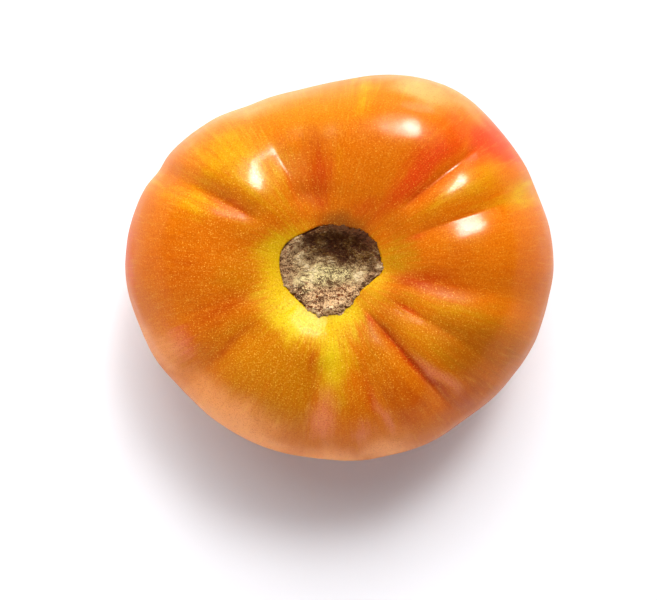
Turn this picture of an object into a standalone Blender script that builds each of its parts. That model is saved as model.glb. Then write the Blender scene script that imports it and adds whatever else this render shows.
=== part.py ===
"""A ripe beefsteak tomato, picked without its stalk and resting on its blossom end.

Two closed bodies: the lobed fruit, and the corky scar of the stalk set into the bowl of its shoulder.
Metres, +Z up along the stalk's axis, +X along the widest way. The origin is at the middle of the
fruit's bounding box, on the surface that it rests on. Azimuths run anticlockwise from +X, seen from above.
"""

from collections import namedtuple

import bmesh
import bpy
import numpy as np

MM = 0.001

# The fruit, in mm. Its reach is the distance from the stalk's axis to its side, every 30 degrees.
FRUIT_REACH = (52.0, 51.7, 50.0, 44.2, 43.7, 46.9, 47.8, 45.6, 44.2, 44.6, 46.4, 49.4)
WAIST_HEIGHT = 30.0
SHOULDER_RISE = 35.0
BASE_SINK = 1.2
SHOULDER_POWERS = (3.0, 2.3)
SQUARE_SHOULDER = 0.7
SQUARE_AZIMUTH = 50.0
BASE_POWERS = (2.5, 2.15)

# The bowl round the stalk, and the way that the shoulder is higher on one side than on the other.
BOWL_DEPTH = 7.0
BOWL_SHARE = 0.40
BOWL_POWER = 1.2
SHOULDER_TILT = 1.6
SHOULDER_TILT_AZIMUTH = 70.0

# The dimple at the blossom end.
DIMPLE_DEPTH = 2.6
DIMPLE_RADIUS = 5.0

# A furrow is a crease along the middle of a broad valley between two lobes. The azimuths of its two
# ends, the depth and half-width of the crease in mm, the shares of the way from the bowl's edge to the
# blossom end where the crease starts and stops, how sharp it is, and the valley's depth and half-width.
Furrow = namedtuple("Furrow", "top_azimuth foot_azimuth depth width start stop sharpness valley spread")
FURROWS = (
    Furrow(22, 20, 0.9, 2.6, 0.05, 0.40, 0.7, 1.0, 5.0),
    Furrow(49, 38, 1.3, 2.6, 0.06, 0.48, 0.8, 0.9, 6.5),
    Furrow(88, 86, 0.4, 3.0, 0.02, 0.40, 0.2, 0.9, 6.5),
    Furrow(104, 100, 0.9, 3.6, 0.02, 0.40, 0.2, 1.3, 7.5),
    Furrow(113, 118, 1.1, 3.0, 0.04, 0.38, 0.5, 1.5, 6.5),
    Furrow(146, 151, 1.1, 3.0, 0.06, 0.34, 0.6, 1.6, 7.5),
    Furrow(198, 197, 0.4, 3.0, 0.03, 0.36, 0.2, 0.8, 6.0),
    Furrow(217, 219, 0.8, 3.6, 0.08, 0.50, 0.2, 1.2, 7.0),
    Furrow(262, 263, 0.8, 3.0, 0.10, 0.44, 0.4, 0.8, 5.5),
    Furrow(288, 286, 0.7, 3.0, 0.10, 0.46, 0.4, 0.6, 5.5),
    Furrow(312, 314, 1.9, 3.0, 0.03, 0.56, 0.9, 1.2, 6.5),
    Furrow(332, 331, 0.9, 2.8, 0.02, 0.38, 0.6, 0.9, 5.5),
    Furrow(353, 350, 0.9, 3.6, 0.04, 0.44, 0.3, 0.9, 6.0),
)
VALLEY_START = 0.22
VALLEY_WAIST = 0.30

# The scar, in mm: the reach of its ragged edge every 22.5 degrees, with one pointed corner, and the
# height of its rim every 45 degrees.
SCAR_REACH = (11.0, 11.3, 11.0, 9.7, 9.6, 9.9, 10.7, 11.8, 11.3, 10.6, 10.0, 10.3, 10.0, 9.2, 8.4, 9.0)
CORNER_AZIMUTH = -3.0
CORNER_REACH = 0.6
CORNER_WIDTH = 6.0
RIM_HEIGHTS = (0.7, 1.3, 0.9, 1.4, 0.8, 0.6, 1.1, 0.5)
SCAR_RIM_PLACE = 0.86
SCAR_RIM_WIDTH = 0.11
SCAR_CUP = 3.6
CUP_SHIFT = 0.16
CUP_SHIFT_AZIMUTH = 80.0
SEAT_WALL = 1.2
SEAT_GAP = 0.3

# Finishes: linear colours and roughness.
SKIN_COLOUR = (0.78, 0.20, 0.012)
SKIN_ROUGHNESS = 0.3
CORK_COLOUR = (0.24, 0.15, 0.085)
CORK_ROUGHNESS = 0.9

# Facets.
FRUIT_COLUMNS = 120
SEAT_RINGS = 4
UPPER_RINGS = 18
LOWER_RINGS = 12
SCAR_COLUMNS = 60
SCAR_FACE_RINGS = 11
SCAR_BACK_RINGS = 5


def around(values, azimuth):
    """A smooth closed curve through values spaced evenly round a turn: the sum of their Fourier terms."""
    terms = np.fft.rfft(values) / len(values)
    total = np.full_like(azimuth, terms[0].real)
    for k in range(1, len(terms)):
        weight = 1 if 2 * k == len(values) else 2
        total += weight * (terms[k].real * np.cos(k * azimuth) - terms[k].imag * np.sin(k * azimuth))
    return total


def turn_between(azimuth, other_degrees):
    """The signed angle from a direction to each azimuth, within half a turn, in radians."""
    return (azimuth - np.radians(other_degrees) + np.pi) % (2 * np.pi) - np.pi


def smooth_step(low, high, value):
    """0 below low, 1 above high, and an S-shaped rise between them."""
    share = np.clip((value - low) / (high - low), 0, 1)
    return share * share * (3 - 2 * share)


def scar_edge(azimuth):
    """How far the scar reaches from the stalk's axis."""
    corner = CORNER_REACH * np.exp(-((turn_between(azimuth, CORNER_AZIMUTH) / np.radians(CORNER_WIDTH)) ** 2))
    return around(SCAR_REACH, azimuth) + corner


def lip_height():
    """The height of the skin at the scar's edge, where the bowl is deepest."""
    return WAIST_HEIGHT + SHOULDER_RISE - BOWL_DEPTH


def seat_depth(share):
    """How far the seat of the scar lies below the lip, from 0 at its middle to 1 at its wall."""
    return SEAT_WALL + SCAR_CUP * (1 - share**2)


def skin_before_furrows(azimuth, way):
    """The smooth fruit: distance from the axis and height, for way 0 at the scar's lip to 1 at the blossom end."""
    waist = UPPER_RINGS / (UPPER_RINGS + LOWER_RINGS)
    reach, lip = around(FRUIT_REACH, azimuth), scar_edge(azimuth)
    upper = way <= waist
    turn = np.where(upper, way / waist, (1 - way) / (1 - waist)) * np.pi / 2
    share = np.sin(turn)
    out = np.where(upper, lip + (reach - lip) * share, reach * share)
    high, low = SHOULDER_POWERS, BASE_POWERS
    tilt = SHOULDER_TILT * np.cos(turn_between(azimuth, SHOULDER_TILT_AZIMUTH)) * np.sin(2 * turn)
    bowl = BOWL_DEPTH * np.exp(-((share / BOWL_SHARE) ** BOWL_POWER))
    square = high[0] + SQUARE_SHOULDER * np.cos(turn_between(azimuth, SQUARE_AZIMUTH))
    above = SHOULDER_RISE * (1 - share**square) ** (1 / high[1]) + tilt - bowl
    dimple = DIMPLE_DEPTH * np.exp(-((out / DIMPLE_RADIUS) ** 2))
    below = dimple - (WAIST_HEIGHT + BASE_SINK) * (1 - share ** low[0]) ** (1 / low[1])
    return out, WAIST_HEIGHT + np.where(upper, above, below)


def furrow_depth(azimuth, way, out):
    """How deep all the furrows are at a point: each is a crease on the shoulder in the middle of a broad
    valley, which is shallower from the waist down and ends at the blossom."""
    total = np.zeros_like(azimuth)
    valley_run = smooth_step(0, VALLEY_START, way) * (1 - smooth_step(0.80, 0.97, way))
    valley_run = valley_run * (1 - (1 - VALLEY_WAIST) * smooth_step(0.38, 0.60, way))
    for f in FURROWS:
        along = np.clip((way - f.start) / (f.stop - f.start), 0, 1)
        middle = f.top_azimuth + (f.foot_azimuth - f.top_azimuth) * along
        across = np.abs(out * turn_between(azimuth, middle))
        section = (1 - f.sharpness) * np.exp(-((across / f.width) ** 2))
        section = section + f.sharpness * np.exp(-1.6 * across / f.width)
        crease_run = smooth_step(0, 0.3, along) * (1 - smooth_step(0.35, 1, along))
        total += f.depth * crease_run * section
        total += f.valley * valley_run * np.exp(-((across / f.spread) ** 2))
    return total


def skin(azimuth, way):
    """The lobed fruit. Furrows sink the skin towards a ring inside the flesh, and the base lies flat on z = 0."""
    out, height = skin_before_furrows(azimuth, way)
    ring = 0.45 * around(FRUIT_REACH, azimuth)
    towards = np.stack([ring - out, WAIST_HEIGHT - height])
    towards /= np.linalg.norm(towards, axis=0)
    depth = furrow_depth(azimuth, way, out)
    return out + towards[0] * depth, np.maximum(height + towards[1] * depth, 0)


def seat(azimuth, share):
    """The floor of the scar's seat."""
    return scar_edge(azimuth) * share, lip_height() - seat_depth(share)


def scar_face(azimuth, share):
    """The corky face of the scar: a raised rim round a cup whose lowest point is off its middle."""
    out = (scar_edge(azimuth) - SEAT_GAP) * share
    rim = around(RIM_HEIGHTS, azimuth) * np.exp(-(((share - SCAR_RIM_PLACE) / SCAR_RIM_WIDTH) ** 2))
    shifted = share - CUP_SHIFT * np.cos(turn_between(azimuth, CUP_SHIFT_AZIMUTH)) * share * (1 - share) * 4
    cup = SCAR_CUP * (1 - smooth_step(0.1, 0.9, shifted))
    return out, lip_height() + rim - cup


def scar_back(azimuth, share):
    """The back of the scar, which follows its seat with a gap."""
    return (scar_edge(azimuth) - SEAT_GAP) * share, lip_height() - seat_depth(share) + SEAT_GAP


def ball_rings(columns, rings):
    """A UV sphere, with the azimuth and the ring number of each of its points. Ring 0 is the top pole."""
    ball = bmesh.new()
    bmesh.ops.create_uvsphere(ball, u_segments=columns, v_segments=rings, radius=1)
    points = np.array([v.co for v in ball.verts])
    azimuth = np.arctan2(points[:, 1], points[:, 0])
    ring = np.rint(np.arccos(np.clip(points[:, 2], -1, 1)) / np.pi * rings)
    return ball, azimuth, ring


def placed(azimuth, out, height):
    """Points from their azimuth, distance from the stalk's axis and height."""
    return np.stack([out * np.cos(azimuth), out * np.sin(azimuth), height], axis=1)


def fruit_points(azimuth, ring):
    """Each ring of the fruit's ball in its place: first the seat's floor, then the skin from lip to blossom end."""
    share = np.clip(ring / SEAT_RINGS, 0, 1)
    way = np.clip((ring - SEAT_RINGS - 1) / (UPPER_RINGS + LOWER_RINGS), 0, 1)
    floor, outside = seat(azimuth, share), skin(azimuth, way)
    in_seat = ring <= SEAT_RINGS
    return placed(azimuth, *(np.where(in_seat, low, high) for low, high in zip(floor, outside)))


def scar_points(azimuth, ring):
    """Each ring of the scar's ball in its place: its face from the middle out, then its back."""
    face = scar_face(azimuth, np.clip(ring / SCAR_FACE_RINGS, 0, 1))
    rings = SCAR_FACE_RINGS + 1 + SCAR_BACK_RINGS
    back = scar_back(azimuth, np.clip((rings - ring) / SCAR_BACK_RINGS, 0, 1))
    on_face = ring <= SCAR_FACE_RINGS
    return placed(azimuth, *(np.where(on_face, high, low) for high, low in zip(face, back)))


def solid_from(ball, name, points, colour, roughness, collection):
    """Moves a ball's points to their places and makes it a named object with its own material."""
    for vertex, place in zip(ball.verts, points * MM):
        vertex.co = place
    mesh = bpy.data.meshes.new(name)
    ball.to_mesh(mesh)
    ball.free()
    mesh.shade_smooth()
    mesh.materials.append(finish(name, colour, roughness))
    solid = bpy.data.objects.new(name, mesh)
    collection.objects.link(solid)
    return solid


def finish(name, colour, roughness):
    """A plain Principled material."""
    material = bpy.data.materials.new(name)
    material.use_nodes = True
    shader = material.node_tree.nodes["Principled BSDF"]
    shader.inputs["Base Color"].default_value = (*colour, 1)
    shader.inputs["Roughness"].default_value = roughness
    return material


def main():
    for old in list(bpy.data.objects):
        bpy.data.objects.remove(old)
    tomato = bpy.data.collections.new("tomato")
    bpy.context.scene.collection.children.link(tomato)

    ball, azimuth, ring = ball_rings(FRUIT_COLUMNS, SEAT_RINGS + 1 + UPPER_RINGS + LOWER_RINGS)
    points = fruit_points(azimuth, ring)
    to_middle = -(points.min(axis=0) + points.max(axis=0)) / 2
    to_middle[2] = 0
    solid_from(ball, "fruit", points + to_middle, SKIN_COLOUR, SKIN_ROUGHNESS, tomato)

    ball, azimuth, ring = ball_rings(SCAR_COLUMNS, SCAR_FACE_RINGS + 1 + SCAR_BACK_RINGS)
    points = scar_points(azimuth, ring)
    solid_from(ball, "stem_scar", points + to_middle, CORK_COLOUR, CORK_ROUGHNESS, tomato)


main()
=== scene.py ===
# %% [markdown]
# # A ripe beefsteak tomato
#
# A beefsteak tomato is a squat fruit of many fused chambers. Each chamber swells into a lobe, and furrows
# run down between the lobes from the bowl where the stalk was. This one has lost its stalk: what is left
# is a corky scar in the bowl. The skin is thin, waxy and a little see-through, orange with a yellow
# shoulder and red flames.
#
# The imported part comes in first. It fixes every size, and each piece made here lies exactly on it.

import itertools
import math
from collections import namedtuple

import bpy
import numpy as np
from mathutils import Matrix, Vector


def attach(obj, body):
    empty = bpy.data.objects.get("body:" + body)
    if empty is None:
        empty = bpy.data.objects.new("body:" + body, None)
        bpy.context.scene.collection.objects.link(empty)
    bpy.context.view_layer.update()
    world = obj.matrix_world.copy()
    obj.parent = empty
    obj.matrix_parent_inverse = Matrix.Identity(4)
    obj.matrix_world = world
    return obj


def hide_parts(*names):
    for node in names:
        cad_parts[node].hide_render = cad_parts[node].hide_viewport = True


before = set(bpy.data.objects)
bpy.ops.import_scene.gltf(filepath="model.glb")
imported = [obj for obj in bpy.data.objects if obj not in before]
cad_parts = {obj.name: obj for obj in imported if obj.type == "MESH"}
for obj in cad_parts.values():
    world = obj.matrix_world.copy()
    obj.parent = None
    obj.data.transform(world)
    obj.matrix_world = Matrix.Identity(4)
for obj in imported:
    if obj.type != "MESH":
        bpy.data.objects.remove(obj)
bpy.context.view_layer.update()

# %% [markdown]
# ## Round and down
#
# A fruit grows round its stalk, so its shape is easiest to say with two numbers: the azimuth, which turns
# anticlockwise from +X as seen from above, and how far down the skin a point lies. The reach of the side
# is measured every 30 degrees, and a Fourier sum draws one smooth closed curve through those values. A
# spline would do as well, but the sum needs no special case where the turn closes.

# %% Curves that run round the stalk
def around(values, azimuth):
    """A smooth closed curve through values spaced evenly round a turn: the sum of their Fourier terms."""
    terms = np.fft.rfft(values) / len(values)
    total = np.full_like(azimuth, terms[0].real)
    for k in range(1, len(terms)):
        weight = 1 if 2 * k == len(values) else 2
        total += weight * (terms[k].real * np.cos(k * azimuth) - terms[k].imag * np.sin(k * azimuth))
    return total


def turn_between(azimuth, degrees):
    """Radians from a direction in degrees to each azimuth: the difference, brought within half a turn."""
    return (azimuth - np.radians(degrees) + np.pi) % (2 * np.pi) - np.pi


def smooth_step(low, high, value):
    """0 below low, 1 above high, and between them 3 t squared less 2 t cubed."""
    share = np.clip((value - low) / (high - low), 0, 1)
    return share * share * (3 - 2 * share)


FRUIT_REACH = (52.0, 51.7, 50.0, 44.2, 43.7, 46.9, 47.8, 45.6, 44.2, 44.6, 46.4, 49.4)
SCAR_REACH = (11.0, 11.3, 11.0, 9.7, 9.6, 9.9, 10.7, 11.8, 11.3, 10.6, 10.0, 10.3, 10.0, 9.2, 8.4, 9.0)
print("the fruit reaches", min(FRUIT_REACH), "to", max(FRUIT_REACH), "mm from the stalk's axis")

# %% [markdown]
# ## The skin before its furrows
#
# From the scar's lip the skin rises out of a bowl to a broad shoulder, falls to the waist and turns in
# under the fruit to the dimple at the blossom end. Two superellipses that meet at the waist give this:
# a superellipse is an ellipse with its squares changed to other powers, and higher powers make a squarer
# shoulder. The bowl and the dimple are bumps of the form exp of minus a distance to a power.

# %% The smooth fruit
WAIST_HEIGHT = 30.0
SHOULDER_RISE = 35.0
BASE_SINK = 1.2
BOWL_DEPTH = 7.0
LIP_HEIGHT = WAIST_HEIGHT + SHOULDER_RISE - BOWL_DEPTH
WAIST_WAY = 0.6
CORNER_AZIMUTH = -3.0


def scar_edge(azimuth):
    """How far the scar reaches: its measured curve, plus a narrow bell for its pointed corner."""
    corner = 0.6 * np.exp(-((turn_between(azimuth, CORNER_AZIMUTH) / np.radians(6)) ** 2))
    return around(SCAR_REACH, azimuth) + corner


def share_down(way):
    """The share of the reach at a way down the skin: the sine of a quarter turn to the waist, and back."""
    turn = np.where(way <= WAIST_WAY, way / WAIST_WAY, (1 - way) / (1 - WAIST_WAY)) * np.pi / 2
    return turn, np.sin(turn)


def smooth_fruit(azimuth, way):
    """Distance from the axis and height, for way 0 at the scar's lip to 1 at the blossom end: on each side
    of the waist, height is a rise times (1 - share to one power) to another, less the bowl or dimple."""
    reach, lip = around(FRUIT_REACH, azimuth), scar_edge(azimuth)
    upper = way <= WAIST_WAY
    turn, share = share_down(way)
    out = np.where(upper, lip + (reach - lip) * share, reach * share)
    tilt = 1.6 * np.cos(turn_between(azimuth, 70)) * np.sin(2 * turn)
    bowl = BOWL_DEPTH * np.exp(-((share / 0.40) ** 1.2))
    square = 3.0 + 1.1 * np.cos(turn_between(azimuth, 75))
    above = SHOULDER_RISE * (1 - share**square) ** (1 / 2.3) + tilt - bowl
    dimple = 2.6 * np.exp(-((out / 5.0) ** 2))
    below = dimple - (WAIST_HEIGHT + BASE_SINK) * (1 - share**2.5) ** (1 / 2.15)
    return out, WAIST_HEIGHT + np.where(upper, above, below)


print("the waist is", WAIST_HEIGHT, "mm up and the lip of the scar", LIP_HEIGHT, "mm")

# %% [markdown]
# ## Furrows and lobes
#
# A lobe is what stands between two furrows, so only the furrows are described: thirteen of them, unevenly
# spaced, as their chambers are. Each is a broad valley with a crease along its middle. The crease mixes a
# round trough, exp of minus the distance squared, with a pointed one, exp of minus the distance, so one
# number says how sharp it is. Carving them with a brush would look much the same, but these few numbers
# can be set one by one against what is seen.

# %% The furrows
Furrow = namedtuple("Furrow", "top_azimuth foot_azimuth depth width start stop sharpness valley spread")
FURROWS = (
    Furrow(22, 20, 0.9, 2.6, 0.05, 0.40, 0.7, 1.0, 5.0),
    Furrow(40, 39, 1.3, 2.6, 0.06, 0.48, 0.8, 1.2, 7.5),
    Furrow(88, 86, 0.4, 3.0, 0.02, 0.40, 0.2, 1.1, 8.0),
    Furrow(104, 100, 0.9, 3.6, 0.02, 0.40, 0.2, 1.15, 7.5),
    Furrow(113, 117, 0.6, 3.0, 0.04, 0.38, 0.5, 1.25, 5.0),
    Furrow(146, 150, 1.1, 2.6, 0.06, 0.36, 0.6, 1.5, 3.2),
    Furrow(198, 197, 0.4, 3.0, 0.03, 0.36, 0.2, 0.8, 6.0),
    Furrow(217, 219, 0.8, 3.6, 0.08, 0.50, 0.2, 1.2, 7.0),
    Furrow(262, 263, 0.8, 3.0, 0.10, 0.44, 0.4, 0.8, 5.5),
    Furrow(288, 286, 0.7, 3.0, 0.10, 0.46, 0.4, 0.6, 5.5),
    Furrow(310.5, 312, 1.8, 2.3, 0.02, 0.56, 0.9, 0.9, 5.0),
    Furrow(332, 331, 0.9, 2.6, 0.03, 0.38, 0.6, 0.6, 5.5),
    Furrow(353, 350, 0.9, 3.6, 0.04, 0.44, 0.3, 0.9, 6.0),
)


def furrow_cut(azimuth, way, out):
    """The depth of all the furrows at a point, and of their creases alone: for each, depth times its run
    along the skin times its section across, summed."""
    creases, valleys = np.zeros_like(azimuth), np.zeros_like(azimuth)
    valley_run = smooth_step(0, 0.22, way) * (1 - smooth_step(0.80, 0.97, way))
    valley_run = valley_run * (1 - 0.70 * smooth_step(0.38, 0.60, way))
    for f in FURROWS:
        along = np.clip((way - f.start) / (f.stop - f.start), 0, 1)
        middle = f.top_azimuth + (f.foot_azimuth - f.top_azimuth) * along
        across = np.abs(out * turn_between(azimuth, middle))
        section = (1 - f.sharpness) * np.exp(-((across / f.width) ** 2))
        section = section + f.sharpness * np.exp(-1.6 * across / f.width)
        creases += f.depth * smooth_step(0, 0.18, along) * (1 - smooth_step(0.35, 1, along)) * section
        valleys += f.valley * valley_run * np.exp(-((across / f.spread) ** 2))
    return creases + valleys, creases


print(len(FURROWS), "furrows, the deepest", max(f.depth + f.valley for f in FURROWS), "mm")

# %% [markdown]
# ## Uneven, as grown things are
#
# No lobe is a perfect curve, and a shiny skin shows it: a highlight breaks into patches where the surface
# undulates by only a tenth of a millimetre. Lattice noise gives such waves. It puts a random number
# on each corner of a lattice of cubes and blends smoothly between the corners. A Displace modifier with
# a noise texture would do it too, but the same function also roughens the cork and frays its edge below.

# %% Lattice noise
def lattice_noise(points, cell, seed):
    """Smooth random values from -1 to 1: each of a cube's eight corners weighs in by how near it is, on
    the curve 6 t to the fifth less 15 t to the fourth plus 10 t cubed."""
    table = np.random.default_rng(seed).uniform(-1, 1, 4096)
    corner = np.floor(points / cell).astype(np.int64)
    part = points / cell - corner
    part = part**3 * (part * (6 * part - 15) + 10)
    total = np.zeros(points.shape[:-1])
    for step in itertools.product((0, 1), repeat=3):
        x, y, z = np.moveaxis(corner + step, -1, 0)
        key = (x * 73856093 ^ y * 19349663 ^ z * 83492791) % 4096
        total += table[key] * np.prod(np.where(step, part, 1 - part), axis=-1)
    return total


def layered_noise(points, cell, seed, layers, fade=0.5):
    """Layers of lattice noise, each on cells half as wide and fade times as high as the one before."""
    return sum(fade**n * lattice_noise(points, cell / 2**n, seed + n) for n in range(layers))


# %% [markdown]
# ## Swellings on the lobes
#
# Between their furrows the lobes aren't evenly round: here and there one bulges, and a highlight gathers
# on the bulge. Each swelling is a bell, placed by its azimuth and by how far down the skin it lies, with
# a half-width each way and a lift in mm. Sculpting would do too, but a bell can be moved with one number
# until its highlight falls where the real one does.

# %% Swellings
Swelling = namedtuple("Swelling", "azimuth down wide high lift")
SWELLINGS = (
    Swelling(58, 0.85, 10, 9, 0.5),
    Swelling(143, 0.23, 6.5, 14, 2.1),
    Swelling(118, 0.28, 10, 7, 0.9),
    Swelling(251, 0.20, 6, 4.5, 0.6),
    Swelling(14, 0.40, 8, 7, 0.5),
    Swelling(31, 0.42, 6, 8, 0.8),
)


def share_of_skin(way):
    """How far down a way is: the share of the reach above the waist, and 2 less that share below it."""
    share = share_down(way)[1]
    return np.where(way <= WAIST_WAY, share, 2 - share)


def swelling_lift(azimuth, way, out):
    """How far the swellings lift the skin, in mm: the sum of each lift times exp of minus the squared
    distances round and down the fruit, in half-widths."""
    down = share_of_skin(way)
    span = around(FRUIT_REACH, azimuth) - scar_edge(azimuth)
    total = np.zeros_like(azimuth)
    for s in SWELLINGS:
        across = out * turn_between(azimuth, s.azimuth) / s.wide
        along = (down - s.down) * span / s.high
        total += s.lift * np.exp(-(across**2) - along**2)
    return total


print(len(SWELLINGS), "swellings, the highest", max(s.lift for s in SWELLINGS), "mm")

# %% The skin, with its furrows and its unevenness
RING_SHARE = 0.45
PLEAT_HEIGHT = 0.07
SEAT_STEP = 1.2
SEAT_SINK = 3.6


def in_space(azimuth, out, height):
    """Points from their azimuth, distance from the stalk's axis and height, in mm."""
    return np.stack([out * np.cos(azimuth), out * np.sin(azimuth), height], axis=-1)


def skin(azimuth, way):
    """The lobed skin in mm. Furrows, unevenness and the pleats at the bowl's lip sink it towards a ring
    inside the flesh, at the waist's height and a share of the reach out, and swellings lift it away from
    there. The base is flat where it would go below the surface it rests on."""
    out, height = smooth_fruit(azimuth, way)
    ring = RING_SHARE * around(FRUIT_REACH, azimuth)
    towards = np.stack([ring - out, WAIST_HEIGHT - height])
    towards /= np.linalg.norm(towards, axis=0)
    depth = furrow_cut(azimuth, way, out)[0]
    place = in_space(azimuth, out, height)
    calm = smooth_step(0, 0.12, way) * (1 - smooth_step(0.85, 0.95, way))
    depth = depth - swelling_lift(azimuth, way, out)
    depth = depth + calm * (0.16 * lattice_noise(place, 11.0, 3) + 0.09 * lattice_noise(place, 4.5, 8))
    pleats = layered_noise(in_space(azimuth, np.full_like(out, 9.0), 0.10 * out), 2.4, 5, 3)
    near_lip = smooth_step(0.0, 0.03, way) * (1 - smooth_step(0.06, 0.24, way))
    depth = depth + PLEAT_HEIGHT * pleats * near_lip
    return in_space(azimuth, out + towards[0] * depth, np.maximum(height + towards[1] * depth, 0))


def seat(azimuth, share):
    """The floor under the scar: out to the scar's edge, a step below its lip, and deeper in the middle by
    a sink times 1 less the share squared."""
    height = LIP_HEIGHT - SEAT_STEP - SEAT_SINK * (1 - share**2)
    return in_space(azimuth, scar_edge(azimuth) * share, height)


print("the middle of the seat is", round(SEAT_STEP + SEAT_SINK, 1), "mm below the lip of the scar")


# %% [markdown]
# ## From a grid to a closed mesh
#
# Both pieces are grids of rings. Every ring is joined to the next with four-sided faces, the last column
# is joined to the first, and the first and last ring shrink to one point each, so that the surface is
# closed. The faces are listed so that they point outwards.

# %% Grid to mesh
MM = 0.001


def closed_piece(name, rings, to_middle):
    """A mesh from rings of points, shape (rings, columns, 3), whose first and last rings are single points.
    A face joins points (i, j), (i + 1, j), (i + 1, j + 1) and (i, j + 1)."""
    rows, columns = rings.shape[:2]
    inner = rings[1:-1].reshape(-1, 3)
    points = (np.vstack([rings[0, :1], inner, rings[-1, :1]]) + to_middle) * MM
    row, column = np.meshgrid(np.arange(rows - 3), np.arange(columns), indexing="ij")
    here, there = 1 + row * columns + column, 1 + row * columns + (column + 1) % columns
    quads = np.stack([here, here + columns, there + columns, there], axis=-1).reshape(-1, 4)
    first = 1 + np.arange(columns)
    after = 1 + (np.arange(columns) + 1) % columns
    last = 1 + (rows - 3) * columns
    top = np.stack([np.zeros_like(first), first, after], axis=-1)
    bottom = np.stack([np.full_like(first, len(points) - 1), after + last - 1, first + last - 1], axis=-1)
    mesh = bpy.data.meshes.new(name)
    mesh.from_pydata(points.tolist(), [], quads.tolist() + top.tolist() + bottom.tolist())
    mesh.shade_smooth()
    piece = bpy.data.objects.new(name, mesh)
    bpy.context.scene.collection.objects.link(piece)
    print(name, "has", len(quads) * 2 + len(top) * 2, "triangles")
    return piece


def on_each_point(piece, name, values):
    """Stores a grid of numbers, or of vectors, on the points of a piece, in the order of closed_piece."""
    flat = np.concatenate([values[:1, 0], values[1:-1].reshape(-1, *values.shape[2:]), values[-1:, 0]])
    kind, field = ("FLOAT", "value") if values.ndim == 2 else ("FLOAT_VECTOR", "vector")
    piece.data.attributes.new(name, kind, "POINT").data.foreach_set(field, flat.astype(np.float32).ravel())


# %% The fruit
FRUIT_COLUMNS = 448
SEAT_RINGS = 6
SKIN_RINGS = 204

azimuth_row = np.arange(FRUIT_COLUMNS) * 2 * np.pi / FRUIT_COLUMNS
seat_azimuth, seat_share = np.meshgrid(azimuth_row, np.linspace(0, 1, SEAT_RINGS), indexing="xy")
skin_azimuth, skin_way = np.meshgrid(azimuth_row, np.linspace(0, 1, SKIN_RINGS), indexing="xy")
fruit_rings = np.concatenate([seat(seat_azimuth, seat_share), skin(skin_azimuth, skin_way)])

middle = (fruit_rings.min(axis=(0, 1)) + fruit_rings.max(axis=(0, 1))) / 2
to_middle = -middle * (1, 1, 0)
fruit = closed_piece("fruit_skin", fruit_rings, to_middle)
print("moved to the middle of the box by", np.round(to_middle, 2), "mm")
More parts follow.
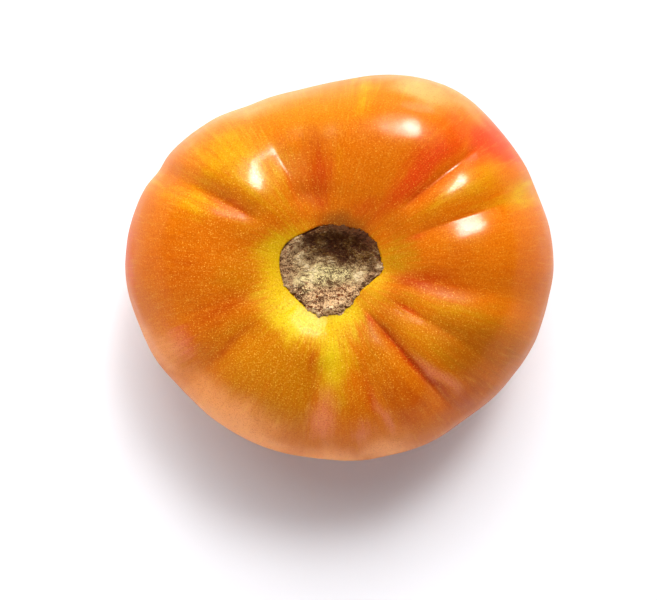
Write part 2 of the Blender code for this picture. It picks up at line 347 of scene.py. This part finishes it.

# %% [markdown]
# ## Where the colours lie
#
# The colours follow the fruit, not space: yellow spreads down from the scar, red gathers along furrows
# and flames up from the blossom end. So their places are worked out on the same grid as the shape, as
# numbers stored on the points, and the material reads them. Each patch is a bell in azimuth and in
# distance down the skin, and noise shifts where the bells are read, so that no edge is a clean ellipse.
# The patches of one tint make a layer, and the layers lie over the orange flesh in the order given. The
# last three are darker: brown is painted shade on the skin along the scar's north edge, bronze turns the
# gold right of the scar a duller olive, and the last is painted shade in the bowl and on the flank turned
# away from the lamps. Painting a picture onto a UV map would be the other way, but then the fruit could
# not be reshaped.

# %% Patches of colour
Patch = namedtuple("Patch", "azimuth down wide high strength")
Layer = namedtuple("Layer", "name tint mottled streaked patches")
ORANGE = (0.66, 0.168, 0.0, 1)
LAYERS = (
    Layer("amber", (0.58, 0.21, 0.0, 1), 0.5, 0.6, (
        Patch(240, 0.40, 36, 0.50, 0.90),
        Patch(300, 0.35, 14, 0.40, 0.60),
        Patch(328, 0.40, 18, 0.60, 0.70),
        Patch(190, 0.22, 24, 0.22, 0.60),
        Patch(128, 0.55, 24, 0.60, 0.75),
        Patch(10, 0.50, 10, 0.30, 0.35),
        Patch(30, 0.55, 6, 0.35, 0.75),
        Patch(96, 0.80, 34, 0.28, 0.80),
        Patch(150, 0.25, 14, 0.20, 0.60),
        Patch(338, 0.60, 14, 0.40, 0.60),
    )),
    Layer("deep", (0.52, 0.082, 0.0, 1), 0.7, 0.7, (
        Patch(97, 0.40, 7, 0.40, 0.60),
        Patch(200, 0.45, 9, 0.35, 0.70),
        Patch(180, 0.62, 14, 0.30, 0.50),
        Patch(258, 0.33, 3, 0.15, 0.70),
        Patch(3, 0.35, 8, 0.25, 0.45),
        Patch(0, 0.75, 12, 0.25, 0.35),
        # Painted shadow in part: the dark line where the lobe beside the furrow at 311 shades its crease.
        Patch(311, 0.50, 2, 0.45, 0.90),
        Patch(318, 0.86, 14, 0.20, 0.60),
        Patch(300, 0.60, 8, 0.35, 0.60),
        Patch(350, 0.30, 7, 0.25, 0.60),
        Patch(217, 0.50, 3, 0.30, 0.60),
        # Partly the valley's deep red, partly painted shade in the valley near 350.
        Patch(353, 0.21, 9, 0.18, 1.00),
    )),
    Layer("gold", (0.70, 0.44, 0.004, 1), 0.6, 0.8, (
        Patch(22, 0.80, 6, 0.30, 0.55),
        Patch(31, 0.58, 5, 0.28, 0.50),
        Patch(80, 0.80, 5, 0.26, 0.35),
        Patch(86, 0.45, 3, 0.30, 0.30),
        Patch(130, 0.45, 16, 0.50, 0.45),
        Patch(154, 0.66, 7, 0.40, 0.42),
        Patch(322, 0.38, 6, 0.34, 0.30),
        Patch(341, 0.34, 5, 0.36, 0.40),
        Patch(271, 0.33, 12, 0.24, 0.90),
        Patch(283, 0.25, 6, 0.20, 0.60),
        Patch(245, 0.16, 26, 0.16, 0.70),
        Patch(10, 0.07, 22, 0.14, 0.62),
    )),
    Layer("lemon", (0.74, 0.56, 0.012, 1), 0.4, 0.8, (
        Patch(238, 0.08, 40, 0.14, 0.90),
        Patch(286, 0.06, 24, 0.10, 0.70),
        Patch(270, 0.20, 12, 0.14, 0.60),
    )),
    Layer("red", (0.66, 0.060, 0.004, 1), 0.4, 0.6, (
        Patch(47, 0.46, 8, 0.50, 0.78),
        Patch(38, 0.88, 9, 0.24, 1.00),
        Patch(60, 0.11, 14, 0.08, 0.50),
        Patch(97, 0.11, 9, 0.10, 0.55),
        Patch(96, 0.24, 11, 0.28, 0.48),
        Patch(114, 0.25, 2.5, 0.20, 0.45),
        Patch(146, 0.32, 2.5, 0.12, 0.55),
        Patch(175, 0.98, 14, 0.14, 0.50),
        Patch(205, 0.76, 9, 0.16, 0.45),
        Patch(21, 0.22, 3, 0.12, 0.55),
        Patch(351, 0.18, 8, 0.13, 0.45),
        Patch(332, 0.24, 2.5, 0.13, 0.80),
        Patch(308, 0.12, 4, 0.06, 0.70),
        Patch(289, 0.58, 3, 0.20, 0.45),
    )),
    Layer("mauve", (0.78, 0.235, 0.090, 1), 0.5, 0.8, (
        Patch(268, 0.68, 6, 0.16, 0.70),
        Patch(281, 0.78, 4, 0.12, 0.55),
        # Painted highlight: the lit edge of the lobe beside the furrow at 311.
        Patch(315, 0.64, 3.5, 0.22, 0.80),
        Patch(291, 0.72, 3, 0.16, 0.60),
        Patch(206, 0.82, 8, 0.16, 0.60),
    )),
    # Pale is partly the flanks' own paler skin and partly painted reflection and bounce light from the
    # white floor at the edge. The two patches at 60 and 63 near the top edge are a painted reflection of
    # the bright surroundings.
    Layer("pale", (0.94, 0.37, 0.11, 1), 0.5, 0.3, (
        Patch(238, 0.94, 24, 0.20, 1.00),
        Patch(268, 1.00, 14, 0.16, 0.80),
        Patch(288, 0.94, 10, 0.15, 0.70),
        Patch(205, 0.98, 12, 0.20, 0.60),
        Patch(118, 0.96, 34, 0.16, 0.60),
        Patch(60, 0.98, 24, 0.10, 0.60),
        Patch(63, 0.89, 10, 0.09, 0.80),
    )),
    # Painted shade: the skin along the scar's north edge, where the bowl turns away from the lamps,
    # darkened brown.
    Layer("brown", (0.36, 0.10, 0.008, 1), 0.5, 0.3, (
        Patch(72, -0.03, 34, 0.10, 1.00),
        Patch(92, 0.07, 16, 0.09, 0.35),
    )),
    Layer("bronze", (0.46, 0.23, 0.0, 1), 0.3, 0.3, (
        Patch(6, 0.09, 20, 0.13, 0.60),
    )),
    # Painted shade: the bowl's sides and the flank turned away from the lamps, darkened.
    Layer("painted_shade", (0.34, 0.085, 0.0, 1), 0.3, 0.3, (
        Patch(330, 0.70, 18, 0.28, 0.60),
        Patch(20, 0.12, 60, 0.20, 0.42),
        Patch(320, 0.15, 40, 0.22, 0.45),
        Patch(100, 0.20, 30, 0.16, 0.40),
    )),
)
GOLD_LIP = (0.80, 0.40, 0.05, 0.0, 0.40, 0.75, 0.85, 1.0, 1.0, 1.0, 0.95, 0.90)
GOLD_EDGE = (0.14, 0.12, 0.08, 0.08, 0.10, 0.13, 0.14, 0.20, 0.26, 0.26, 0.14, 0.11)


def bells(kinds, azimuth, down):
    """The strongest of several bells at each point: strength times exp of minus both distances squared."""
    strongest = np.zeros_like(down)
    for p in kinds:
        across = np.degrees(turn_between(azimuth, p.azimuth)) / p.wide
        along = (down - p.down) / p.high
        strongest = np.maximum(strongest, p.strength * np.exp(-(across**2) - along**2))
    return strongest


print(len(LAYERS), "layers of colour hold", sum(len(layer.patches) for layer in LAYERS), "patches")

# %% The colours' places on the fruit
down = share_of_skin(skin_way)
place = skin(skin_azimuth, skin_way)
stirred_azimuth = skin_azimuth + np.radians(2.2) * layered_noise(place, 9.0, 21, 3)
stirred_down = down + 0.06 * layered_noise(place * (1, 1, 0.6), 12.0, 31, 3)
stored_kinds = {layer.name: bells(layer.patches, stirred_azimuth, stirred_down) for layer in LAYERS}

ringing = in_space(stirred_azimuth, np.full_like(down, 30.0), 6.0 * stirred_down)
flames = smooth_step(-0.1, 0.9, layered_noise(ringing, 7.0, 41, 3)) * smooth_step(1.05, 1.6, stirred_down)
stored_kinds["red"] = np.maximum(stored_kinds["red"], 0.9 * flames)

from_lip = np.maximum(stirred_down, 0) / around(GOLD_EDGE, stirred_azimuth)
lip_gold = 0.95 * around(GOLD_LIP, stirred_azimuth) * np.exp(-(from_lip**1.6))
stored_kinds["gold"] = np.maximum(stored_kinds["gold"], lip_gold)

smooth_out = smooth_fruit(skin_azimuth, skin_way)[0]
stored_kinds["crease"] = furrow_cut(skin_azimuth, skin_way, smooth_out)[1]
fewer_below = 1 - 0.8 * smooth_step(0.45, 1.0, down)
stored_kinds["sparkle"] = fewer_below * (0.75 - 0.25 * np.cos(turn_between(skin_azimuth, 50)))
blossom = 1 - smooth_step(1.2, 3.0, np.hypot(*np.moveaxis(place[..., :2], -1, 0)))
stored_kinds["blossom"] = np.where(skin_way > WAIST_WAY, blossom, 0)
print("the deepest crease on the grid is", round(float(stored_kinds["crease"].max()), 2), "mm")

# %% [markdown]
# ## Where the skin is dull
#
# The bowl and a few furrows shine less than the lobes do. These places are bells like the patches of
# colour, but noise doesn't shift them, and the last is so wide that it takes in the whole lip of the
# bowl. What is left of 1 is stored as the shine, and the skin's finish reads it.

# %% Dull places, and all that is stored on the points
DULL = (
    Patch(331, 0.25, 10, 0.24, 1.00),
    Patch(105, 0.58, 7, 0.12, 0.95),
    Patch(111, 0.12, 7, 0.10, 0.95),
    Patch(147, 0.28, 4, 0.07, 0.70),
    Patch(226, 0.08, 12, 0.13, 1.00),
    Patch(269, 0.09, 12, 0.13, 1.00),
    Patch(240, 0.06, 200, 0.12, 0.81),
)
stored_kinds["shine"] = 1 - bells(DULL, skin_azimuth, down)
round_fruit = np.stack([np.cos(skin_azimuth), np.sin(skin_azimuth), 0.16 * down], axis=-1)

under_scar = np.zeros((SEAT_RINGS, FRUIT_COLUMNS))
for name, values in stored_kinds.items():
    on_each_point(fruit, name, np.concatenate([under_scar, values]))
    print(name, "is strong on", round(float((values > 0.5).mean()), 2), "of the grid")
on_each_point(fruit, "round_fruit", np.concatenate([np.zeros((SEAT_RINGS, FRUIT_COLUMNS, 3)), round_fruit]))

# %% [markdown]
# ## Shader maths as plain expressions
#
# A material is a small calculation for each point of a surface. Written node by node it is hard to read,
# so one class wraps a socket and lets Python's own signs add the Math nodes: a * b + 1 becomes two nodes.
# Colours are mixed, never multiplied through Math, because that would turn them grey.

# %% A wire of a material
class Wire:
    """A value on its way through a node tree."""

    def __init__(self, tree, socket=None):
        self.tree = tree
        self.socket = socket

    def node(self, kind, settings, inputs, output=0):
        """Adds a node: its settings first, then a number, a colour or another wire on each named socket."""
        node = self.tree.nodes.new(kind)
        for name, value in settings.items():
            setattr(node, name, value)
        for name, value in inputs.items():
            if isinstance(value, Wire):
                self.tree.links.new(value.socket, node.inputs[name])
            else:
                node.inputs[name].default_value = value
        return Wire(self.tree, node.outputs[output])

    def math(self, operation, first, second):
        """Adds a Math node."""
        return self.node("ShaderNodeMath", {"operation": operation}, {0: first, 1: second})

    def __add__(self, other):
        return self.math("ADD", self, other)

    def __sub__(self, other):
        return self.math("SUBTRACT", self, other)

    def __rsub__(self, other):
        return self.math("SUBTRACT", other, self)

    def __mul__(self, other):
        return self.math("MULTIPLY", self, other)

    __radd__ = __add__
    __rmul__ = __mul__

    def most(self, other):
        """The larger of two values."""
        return self.math("MAXIMUM", self, other)

    def rise(self, low, high):
        """0 below low, 1 above high, smooth between them. With low above high it falls instead."""
        limits = {"Value": self, "From Min": low, "From Max": high}
        return self.node("ShaderNodeMapRange", {"interpolation_type": "SMOOTHSTEP"}, limits)

    def between(self, first, second):
        """Mixes two colours by this value: 0 gives the first and 1 the second."""
        return self.node("ShaderNodeMix", {"data_type": "RGBA"}, {0: self, 6: first, 7: second}, 2)

    def noise(self, scale, detail=2.0, roughness=0.5):
        """Noise read at this place, from 0 to 1 and mostly near 0.5."""
        inputs = {"Vector": self, "Scale": scale, "Detail": detail, "Roughness": roughness}
        return self.node("ShaderNodeTexNoise", {"noise_dimensions": "3D"}, inputs)

    def cells(self, scale, output=0):
        """Voronoi cells read at this place: the distance to the nearest seed, or with output 1 the cell's
        colour, which is random."""
        inputs = {"Vector": self, "Scale": scale}
        return self.node("ShaderNodeTexVoronoi", {"feature": "F1"}, inputs, output)

    def chance(self, scale):
        """One random number for each Voronoi cell: its colour, made a plain number by a Math node."""
        return self.cells(scale, 1) * 1.0

    def into(self, shader, socket):
        """Links this value to a socket of a shader."""
        self.tree.links.new(self.socket, shader.inputs[socket])


def new_finish(name, **constants):
    """A Principled material with its constant sockets set. Gives it, its shader, a bare wire, and the
    place on the object."""
    material = bpy.data.materials.new(name)
    material.use_nodes = True
    shader = material.node_tree.nodes["Principled BSDF"]
    for socket, value in constants.items():
        shader.inputs[socket.replace("_", " ")].default_value = value
    wire = Wire(material.node_tree)
    return material, shader, wire, wire.node("ShaderNodeTexCoord", {}, {}, 3)


def stored(wire, name, output=2):
    """A number stored on the points of the mesh, or with output 1 a vector."""
    return wire.node("ShaderNodeAttribute", {"attribute_name": name}, {}, output)


# %% [markdown]
# ## The skin
#
# Tomato skin is a clear, waxy film over coloured flesh, so three things make it: a saturated colour that
# light also seeps through, a clear coat with a tight highlight, and a wax under it that blurs the rest.
# The coat is thin, so the lobes look waxed rather than lacquered, and thinner where the skin is dull.
# Under the film lie hundreds of tiny golden flecks, and fine streaks run from stalk to blossom. The
# flecks are the middles of Voronoi cells, and the streaks are noise read on the stored round-the-fruit
# vector, which changes fast round the fruit and slowly down it.

# %% The skin's colours
FLECK = (0.98, 0.66, 0.10, 1)
BLOSSOM_BROWN = (0.16, 0.075, 0.025, 1)
CREASE_RED_AND_SHADE = (0.50, 0.045, 0.002, 1)
PORE_RED = (0.45, 0.07, 0.0, 1)
FINE_CELLS = 2700.0
LARGE_CELLS = 1400.0

skin_finish, shader, wire, place = new_finish(
    "tomato_skin",
    IOR=1.4,
    Specular_IOR_Level=0.1,
    Subsurface_Weight=0.2,
    Subsurface_Radius=(1.0, 0.32, 0.08),
    Subsurface_Scale=0.002,
    Coat_Roughness=0.175,
    Coat_IOR=2.0,
)
round_wire = stored(wire, "round_fruit", 1)
mottle = place.noise(75.0, 3.0, 0.6)
streaks = round_wire.noise(26.0, 4.0, 0.65)
fine_streaks = round_wire.noise(60.0, 3.0, 0.6)
grain = place.noise(3000.0, 1.0, 0.6)
sparkle = stored(wire, "sparkle")

colour = ORANGE
for layer in LAYERS:
    amount = stored(wire, layer.name) + (mottle - 0.5) * layer.mottled + (streaks - 0.5) * layer.streaked
    colour = amount.rise(0.12, 0.95).between(colour, layer.tint)
# Darker red along the creases: partly the furrows' redder skin, partly painted shade in the creases.
colour = (stored(wire, "crease").rise(0.3, 1.9) * 0.7).between(colour, CREASE_RED_AND_SHADE)
colour = (fine_streaks.rise(0.52, 0.72) * 0.09).between(colour, FLECK)
colour = (grain.rise(0.46, 0.34) * 0.35).between(colour, PORE_RED)

fine_flecks = place.cells(FINE_CELLS).rise(0.40, 0.14) * place.chance(FINE_CELLS).rise(0.45, 0.95)
large_flecks = place.cells(LARGE_CELLS).rise(0.26, 0.10) * place.chance(LARGE_CELLS).rise(0.55, 0.90)
flecks = fine_flecks.most(large_flecks)
glitter = (flecks * 0.75 + grain.rise(0.56, 0.70) * 0.25) * sparkle
colour = glitter.between(colour, FLECK)
colour = stored(wire, "blossom").between(colour, BLOSSOM_BROWN)
colour.into(shader, "Base Color")

# %% The skin's wax and relief
wax = 0.26 + 0.12 * place.noise(160.0, 3.0) + 0.10 * grain
wax = wax + 0.3 * stored(wire, "blossom") + 0.45 * (1 - stored(wire, "shine"))
wax.into(shader, "Roughness")
shine = stored(wire, "shine")
shine = (shine + (fine_streaks - 0.5) * 0.8 * (1 - shine)).most(0.0)
((0.16 * grain + 0.03 + 0.12 * flecks * sparkle) * shine).into(shader, "Coat Weight")
pores = grain * 0.9 + place.noise(420.0, 2.0) * 0.8 + fine_streaks * 0.7
relief = wire.node("ShaderNodeBump", {}, {"Strength": 0.3, "Distance": 0.0001, "Height": pores})
relief.into(shader, "Normal")
fruit.data.materials.append(skin_finish)
print("skin finish:", len(skin_finish.node_tree.nodes), "nodes")

# %% [markdown]
# ## The corky scar
#
# The stalk broke away at its joint and left a plug of dead, dried tissue, as rough as bark. It is a cup
# with an uneven rim: dark and steep on the side that is higher, pale and crumbly in the middle. Layers of
# lattice noise in three dimensions roughen it, and noise along the edge frays it. The frayed edge spreads
# a little over the skin, as real cork does, so no gap shows.

# %% The scar's surface
RIM_HEIGHTS = (0.7, 1.3, 0.9, 1.4, 0.8, 0.6, 1.1, 0.5)
SCAR_COLUMNS = 400
FACE_RINGS = 150
BACK_RINGS = 14
CUP_DEPTH = 3.6
BACK_GAP = 0.3


def scar_face(azimuth, share):
    """The face in mm: lip height plus a bell-shaped rim, less a cup that an S-curve of the share deepens,
    plus noise. The edge frays outwards, and the last ring dips into the skin."""
    rim = around(RIM_HEIGHTS, azimuth) * np.exp(-(((share - 0.86) / 0.11) ** 2))
    shifted = share - 0.64 * np.cos(turn_between(azimuth, 80)) * share * (1 - share)
    height = LIP_HEIGHT + rim - CUP_DEPTH * (1 - smooth_step(0.1, 0.9, shifted))
    edge = scar_edge(azimuth)
    low_side = np.exp(-((turn_between(azimuth, 285) / np.radians(20)) ** 2))
    fray = 0.40 + 0.7 * low_side + 0.42 * layered_noise(in_space(azimuth, edge, 0 * edge), 1.2, 51, 4, 0.7)
    out = (edge + fray * smooth_step(0.7, 1, share)) * share
    flat = in_space(azimuth, out, 0 * out)
    crumbs = 0.36 * layered_noise(flat, 2.2, 61, 5, 0.68)
    fibres = 0.16 * np.abs(layered_noise(flat * (1, 2.2, 1), 0.9, 71, 3))
    crack = 0.9 * np.exp(-((out * turn_between(azimuth, CORNER_AZIMUTH - 1) / 0.45) ** 2))
    crack = crack * smooth_step(0.5, 0.9, share)
    step = 0.7 * np.exp(-((out * turn_between(azimuth, 40) / 0.5) ** 2)) * smooth_step(0.7, 0.95, share)
    height = height + crumbs - fibres - crack - step
    return in_space(azimuth, out, height - 0.55 * smooth_step(0.95, 1.0, share)), crumbs


def scar_back(azimuth, share):
    """The back in mm: the seat's points times 0.97 in plan, and a gap above it."""
    return seat(azimuth, share) * (0.97, 0.97, 1) + (0, 0, BACK_GAP)


scar_row = np.arange(SCAR_COLUMNS) * 2 * np.pi / SCAR_COLUMNS
face_azimuth, face_share = np.meshgrid(scar_row, np.linspace(0, 1, FACE_RINGS), indexing="xy")
back_azimuth, back_share = np.meshgrid(scar_row, np.linspace(1, 0, BACK_RINGS), indexing="xy")
face, crumbs = scar_face(face_azimuth, face_share)
scar = closed_piece("scar_cork", np.concatenate([face, scar_back(back_azimuth, back_share)]), to_middle)

# %% [markdown]
# ## The colours of the cork
#
# Again the places come from the shape. The high side of the cup and the brink above it are nearly black
# brown: the high side is partly the cork's own dark tissue and partly painted shadow, and the brink is
# painted shade from the skin that rises above it. The middle is a greenish cream, and the rest of the rim
# is a greyed pink. The places are bells and S-curves over the plan of the scar, and noise shifts where they
# are read.

# %% Where the cork's colours lie
def spot(points, x, y, wide, high):
    """A bell over the plan of the scar: exp of minus the squared distance from x, y in its half-widths."""
    return np.exp(-(((points[..., 0] - x) / wide) ** 2) - ((points[..., 1] - y) / high) ** 2)


stir = face + 0.9 * np.stack([layered_noise(face, 2.5, seed, 3) for seed in (81, 91, 101)], axis=-1)
across, north = stir[..., 0], stir[..., 1]
above_bend = north + 0.3 + 0.24 * across - 0.021 * across**2
# The high side of the cup: partly the cork's own dark tissue, partly painted shadow from its higher wall.
dark_tissue_and_shadow = 0.9 * smooth_step(-1.0, 4.6, above_bend) * (1 - 0.6 * spot(face, -8.0, 5.0, 3.5, 3.5))
high_side = np.exp(-((np.degrees(turn_between(face_azimuth, 62)) / 48) ** 2))
# The brink of the high side, which is given painted shade below.
brink = smooth_step(0.60, 0.92, face_share) * high_side
cream = spot(stir, 0.4, -1.2, 5.5, 2.4) + 0.55 * spot(stir, -6.0, -4.2, 2.6, 3.2)
rosy = smooth_step(-2.0, -5.0, north) * smooth_step(0.25, 0.6, face_share)
rosy = rosy + 0.6 * spot(stir, -8.0, 5.0, 3.5, 2.6)
umber = smooth_step(0.55, 0.95, face_share + 0.08 * layered_noise(face, 1.5, 111, 2))
umber = umber * (1 - 0.75 * rosy)
no_back = np.zeros((BACK_RINGS, SCAR_COLUMNS))
cork_kinds = {
    "dark_tissue_and_shadow": dark_tissue_and_shadow,
    "cream": cream,
    "rosy": rosy,
    "umber": umber,
    "crumbs": crumbs,
    "brink": brink,
}
for name, values in cork_kinds.items():
    on_each_point(scar, name, np.concatenate([values, no_back]))
    print(name, "runs from", round(float(values.min()), 2), "to", round(float(values.max()), 2))

# %% [markdown]
# ## The finish of the cork
#
# Cork is dead and dry, so it has no gloss worth the name: all its looks are colour and relief, with some
# light and shade painted into the colour. Noise that is stretched one way gives threads and fibres, and a
# thin band round the middle value of a noise gives cracks. The pits between the crumbs are darkened, partly
# the cork's own specks and partly painted shade, and the crumbs' crests are paler, partly pale fibre and
# partly painted light. The high side is dark tissue under painted shadow, and its brink is painted shade.
# Each tint is mixed over the last.

# %% The cork's colours
CORK = (0.62, 0.44, 0.22, 1)
UMBER = (0.56, 0.35, 0.18, 1)
CREAM = (0.92, 0.78, 0.40, 1)
ROSE_CORK = (0.78, 0.51, 0.27, 1)
DARK_CORK = (0.095, 0.025, 0.003, 1)
OLIVE = (0.28, 0.145, 0.025, 1)
STRAND = (0.40, 0.25, 0.09, 1)
RUST = (0.24, 0.065, 0.015, 1)
PALE_FIBRE = (0.92, 0.76, 0.48, 1)

cork_finish, shader, wire, place = new_finish("scar_cork", Specular_IOR_Level=0.25)
stretched = place.node("ShaderNodeVectorMath", {"operation": "MULTIPLY"}, {0: place, 1: (0.4, 1.0, 1.0)})
grain = place.noise(4200.0, 2.0, 0.7)
threads = stretched.noise(1300.0, 4.0, 0.75)
fibres = stretched.noise(3400.0, 2.0, 0.6)
colour = (stored(wire, "umber") + (threads - 0.5)).rise(0.2, 0.9).between(CORK, UMBER)
colour = (stored(wire, "rosy") + (threads - 0.5)).rise(0.2, 0.8).between(colour, ROSE_CORK)
colour = (stored(wire, "cream") + (threads - 0.5) * 1.2).rise(0.2, 0.9).between(colour, CREAM)
# The high side's mix: partly dark tissue, partly painted shadow.
shade = (stored(wire, "dark_tissue_and_shadow") + (threads - 0.5) * 1.2).rise(0.0, 0.9)
olive_share = (threads - 0.5 + stored(wire, "crumbs") * 0.4).rise(-0.10, 0.20) * 0.8
hollow_colour = olive_share.between(DARK_CORK, OLIVE)
hollow_colour = (fibres.rise(0.54, 0.62) * 0.5).between(hollow_colour, STRAND)
colour = shade.between(colour, hollow_colour)
# Paler crests of the crumbs: partly pale fibre, partly painted light on their tops, with less of it where
# the high side is shaded.
crests = (stored(wire, "crumbs") + (fibres - 0.5) * 1.6).rise(0.12, 0.55)
colour = (crests * (0.75 - 0.60 * shade)).between(colour, PALE_FIBRE)
rust = place.noise(1500.0, 3.0, 0.6).rise(0.53, 0.60) * (stored(wire, "rosy") + 0.3)
colour = (rust * 0.75).between(colour, RUST)
seam = stretched.noise(700.0, 4.0, 0.6)
cracks = (seam - 0.5).most(0.5 - seam).rise(0.022, 0.004)
colour = (cracks * 0.8).between(colour, DARK_CORK)
# Dark specks in the low spots between the crumbs: partly the cork's own specks, partly painted shade in the
# pits.
pits = (stored(wire, "crumbs") * 1.1 + grain * 2.8 + threads * 1.4).rise(2.02, 1.70)
colour = (pits * 0.85).between(colour, DARK_CORK)
# Painted shade on the brink of the high side, where the skin above shades it.
brink_painted_shade = (stored(wire, "brink") + (threads - 0.5) * 0.8).rise(0.1, 1.0) * 0.85
colour = brink_painted_shade.between(colour, DARK_CORK)
colour.into(shader, "Base Color")
(0.8 + 0.15 * grain).into(shader, "Roughness")
relief = wire.node("ShaderNodeBump", {}, {"Strength": 0.9, "Distance": 0.0004, "Height": grain + threads})
relief.into(shader, "Normal")
scar.data.materials.append(cork_finish)
print("cork finish:", len(cork_finish.node_tree.nodes), "nodes")

# %% [markdown]
# ## The floor, the light and the camera
#
# The tomato lies on a plain white surface in soft studio light. All lamps are far away, so that the floor
# is evenly white. Six of them light the surfaces: three from the same side, each wider than the one
# before, which together feather the shadow, and three weak ones for the fill and the edges. Broad lamps
# would veil a waxy skin with their reflections, so these six don't show in gloss, and four lamps that
# show in nothing but gloss make the highlights: two tight ones, a wide one for the halo round them and a
# low one for the far edge. Lamps that do both would be simpler, but they give either a hard shadow or
# milky highlights. The sky is white at the horizon and dark overhead for the same reason.

# %% The floor
FLOOR_WIDTH = 12
bpy.ops.mesh.primitive_grid_add(x_subdivisions=2, y_subdivisions=2, size=FLOOR_WIDTH, location=(0, 0, 0))
floor = bpy.context.object
floor.name = "floor"
floor.data.transform(floor.matrix_world)
floor.location = (0, 0, 0)
floor_finish = new_finish("floor_paper", Base_Color=(0.88, 0.89, 0.92, 1), Roughness=0.95)[0]
floor.data.materials.append(floor_finish)
print("the floor is", FLOOR_WIDTH, "m wide")


# %% The lamps
def lamp(name, azimuth, elevation, width, floor_light, colour=(1, 1, 1), glints=False, lights=True):
    """A far lamp of a width in degrees. Its strength is pi times the light that it gives a level floor
    over the sine of its elevation. Glints says whether it shows in gloss, and lights whether it shines
    on surfaces."""
    light = bpy.data.lights.new(name, "SUN")
    light.energy = floor_light * math.pi / math.sin(math.radians(elevation))
    light.angle = math.radians(width)
    light.color = colour
    holder = bpy.data.objects.new(name, light)
    bpy.context.scene.collection.objects.link(holder)
    turn, rise = math.radians(azimuth), math.radians(elevation)
    from_lamp = Vector((math.cos(turn) * math.cos(rise), math.sin(turn) * math.cos(rise), math.sin(rise)))
    holder.rotation_euler = from_lamp.to_track_quat("Z", "Y").to_euler()
    holder.location = from_lamp
    holder.visible_glossy = glints
    holder.visible_diffuse = lights
    print(name, "gives", round(light.energy, 2), "W per square metre")


lamp("sharp_lamp", 70, 57, 14, 0.20)
lamp("key_lamp", 86, 50, 34, 0.24)
lamp("soft_lamp", 94, 42, 72, 0.40)
lamp("fill_lamp", 225, 35, 90, 0.07, (0.94, 0.93, 1.0))
lamp("rim_lamp", 228, 14, 60, 0.03, (1.0, 0.95, 0.92))
lamp("edge_lamp", 66, 12, 14, 0.018)
lamp("edge_shine_lamp", 72, 12, 26, 0.05, glints=True, lights=False)
lamp("shine_lamp", 69, 61, 19, 0.75, glints=True, lights=False)
lamp("lower_shine_lamp", 69, 52, 18, 0.55, glints=True, lights=False)
lamp("halo_lamp", 78, 55, 38, 0.19, glints=True, lights=False)

# %% The sky
OVERHEAD_GLOW = 0.14
HORIZON_GLOW = 0.81
world = bpy.data.worlds.new("studio")
bpy.context.scene.world = world
world.use_nodes = True
background = world.node_tree.nodes["Background"]
background.inputs["Color"].default_value = (0.96, 0.95, 1.0, 1)
wire = Wire(world.node_tree)
direction = wire.node("ShaderNodeTexCoord", {}, {}, 0)
up = wire.node("ShaderNodeSeparateXYZ", {}, {"Vector": direction}, 2)
(OVERHEAD_GLOW + HORIZON_GLOW * up.rise(0.32, 0.10)).into(background, "Strength")
bpy.context.scene.view_settings.view_transform = "Standard"
bpy.context.scene.view_settings.look = "Medium High Contrast"
print("the sky gives", OVERHEAD_GLOW, "overhead and", HORIZON_GLOW, "more at the horizon")

# %% The camera
camera = bpy.data.cameras.new("camera")
camera.lens = 100
camera.sensor_width = 36
holder = bpy.data.objects.new("camera", camera)
bpy.context.scene.collection.objects.link(holder)
holder.location = (-0.0025, -0.0074, 0.46)
bpy.context.scene.camera = holder
print("the camera looks straight down from", holder.location.z, "m")

# %% [markdown]
# ## Handing the pieces over
#
# Each piece stands for its imported node, which is hidden, and rides on the one body.

# %% Hand over
for piece, node, slot in ((fruit, "fruit", "skin"), (scar, "stem_scar", "cork")):
    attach(piece, "root")
    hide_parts(node)
